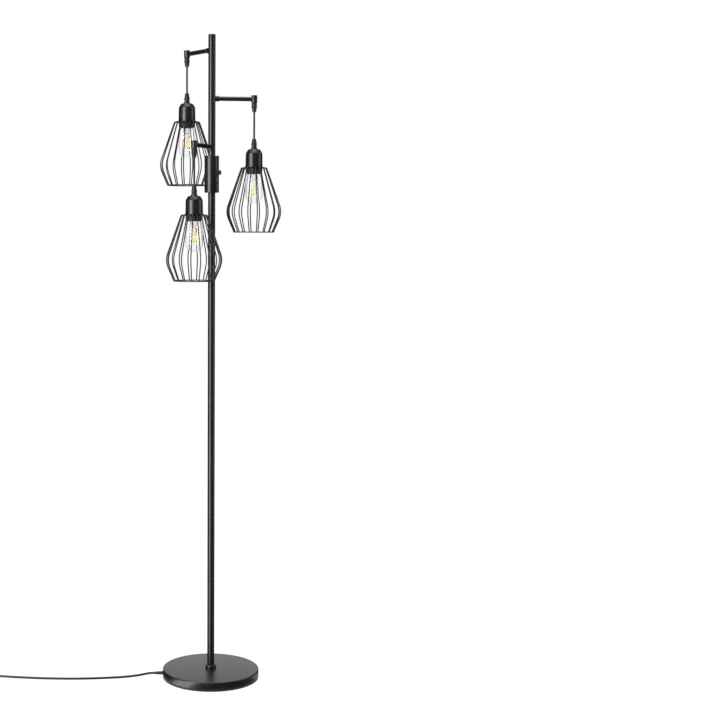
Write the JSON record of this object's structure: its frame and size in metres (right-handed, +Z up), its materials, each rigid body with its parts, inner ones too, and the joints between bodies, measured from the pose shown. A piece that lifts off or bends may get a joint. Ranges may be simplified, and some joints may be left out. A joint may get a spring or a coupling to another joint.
{
  "type": "floor lamp",
  "caption": "Floor lamp with a disc base, a slim pole with a dimmer knob, and filament bulbs in wire cage shades that hang on cords from short arms.",
  "frame": {"origin": "centre of the base's underside, on the floor", "axes": "+Z up along the pole, +X along the middle arm"},
  "size_m": [0.8552, 0.4116, 1.7],
  "materials": {
    "black_powder": "satin black powder coat",
    "black_plastic": "fine matte moulding",
    "dimmer_plastic": "moulded housing of the dimmer",
    "black_rubber": "moulded on the cord",
    "cord_rubber": "smooth matte sheath",
    "pendant_cord": "smooth dark sheath",
    "cast_weight": "raw casting",
    "zinc_steel": "bright zinc",
    "blade_brass": "bright brass",
    "felt": "black felt",
    "nickel": "polished nickel",
    "clear_glass": "clear blown glass",
    "filament": "amber coated filaments on a clear stem"
  },
  "bodies": {
    "stand": {"arm_collars": "black_powder", "arm_elbow_1": "black_powder", "arm_elbow_2": "black_powder", "arm_elbow_3": "black_powder", "arm_tube_1": "black_powder", "arm_tube_2": "black_powder", "arm_tube_3": "black_powder", "base_cover": "black_powder", "base_fasteners": "zinc_steel", "base_felt_pad": "felt", "base_weight": "cast_weight", "cord_bushing": "black_rubber", "dimmer_module": "dimmer_plastic", "dimmer_nut": "black_plastic", "elbow_grip_bodies": "black_plastic", "elbow_grip_nuts": "black_plastic", "mains_cord": "cord_rubber", "mains_cord_coil": "cord_rubber", "plug_blades": "blade_brass", "plug_body": "black_rubber", "pole_cap": "black_powder", "pole_couplers": "zinc_steel", "pole_foot_collar": "black_powder", "pole_lower": "black_powder", "pole_middle": "black_powder", "pole_upper": "black_powder", "switch_end_caps": "black_powder", "switch_housing": "black_powder"},
    "knob": {"dimmer_knob": "black_plastic", "dimmer_shaft": "zinc_steel"},
    "cord_1": {"pendant_cord_1": "pendant_cord"},
    "pendant_1": {"cord_grip_1": "black_plastic", "cup_1": "black_powder", "lampholder_1": "black_plastic", "shade_ring_1": "black_plastic", "cage_wires_1": "black_powder", "cage_rings_1": "black_powder"},
    "bulb_1": {"bulb_cap_1": "nickel", "bulb_glass_1": "clear_glass", "bulb_filaments_1": "filament"},
    "cord_2": {"pendant_cord_2": "pendant_cord"},
    "pendant_2": {"cord_grip_2": "black_plastic", "cup_2": "black_powder", "lampholder_2": "black_plastic", "shade_ring_2": "black_plastic", "cage_wires_2": "black_powder", "cage_rings_2": "black_powder"},
    "bulb_2": {"bulb_cap_2": "nickel", "bulb_glass_2": "clear_glass", "bulb_filaments_2": "filament"},
    "cord_3": {"pendant_cord_3": "pendant_cord"},
    "pendant_3": {"cord_grip_3": "black_plastic", "cup_3": "black_powder", "lampholder_3": "black_plastic", "shade_ring_3": "black_plastic", "cage_wires_3": "black_powder", "cage_rings_3": "black_powder"},
    "bulb_3": {"bulb_cap_3": "nickel", "bulb_glass_3": "clear_glass", "bulb_filaments_3": "filament"}
  },
  "joints": [
    {"name": "dimmer_turn", "type": "hinge", "parent": "stand", "child": "knob", "pos_m": [0, 0, 1.345], "axis": [0.5, -0.866, 0], "range_deg": [0, 300]},
    {"name": "swing_out_1", "type": "hinge", "parent": "stand", "child": "cord_1", "pos_m": [-0.0555, 0.09613, 1.6275], "axis": [0.866, 0.5, 0], "range_deg": [-4, 30]},
    {"name": "swing_side_1", "type": "hinge", "parent": "cord_1", "child": "pendant_1", "pos_m": [-0.0555, 0.09613, 1.5575], "axis": [-0.5, 0.866, 0], "range_deg": [-15, 15]},
    {"name": "bulb_out_1", "type": "slide", "parent": "pendant_1", "child": "bulb_1", "axis": [0, 0, -1], "range_m": [0, 0.2]},
    {"name": "swing_out_2", "type": "hinge", "parent": "stand", "child": "cord_2", "pos_m": [0.111, 0, 1.5035], "axis": [0, -1, 0], "range_deg": [-6, 30]},
    {"name": "swing_side_2", "type": "hinge", "parent": "cord_2", "child": "pendant_2", "pos_m": [0.111, 0, 1.4335], "axis": [1, 0, 0], "range_deg": [-15, 15]},
    {"name": "bulb_out_2", "type": "slide", "parent": "pendant_2", "child": "bulb_2", "axis": [0, 0, -1], "range_m": [0, 0.2]},
    {"name": "swing_out_3", "type": "hinge", "parent": "stand", "child": "cord_3", "pos_m": [-0.0555, -0.09613, 1.3795], "axis": [-0.866, 0.5, 0], "range_deg": [-6, 30]},
    {"name": "swing_side_3", "type": "hinge", "parent": "cord_3", "child": "pendant_3", "pos_m": [-0.0555, -0.09613, 1.3095], "axis": [-0.5, -0.866, 0], "range_deg": [-15, 15]},
    {"name": "bulb_out_3", "type": "slide", "parent": "pendant_3", "child": "bulb_3", "axis": [0, 0, -1], "range_m": [0, 0.2]}
  ]
}
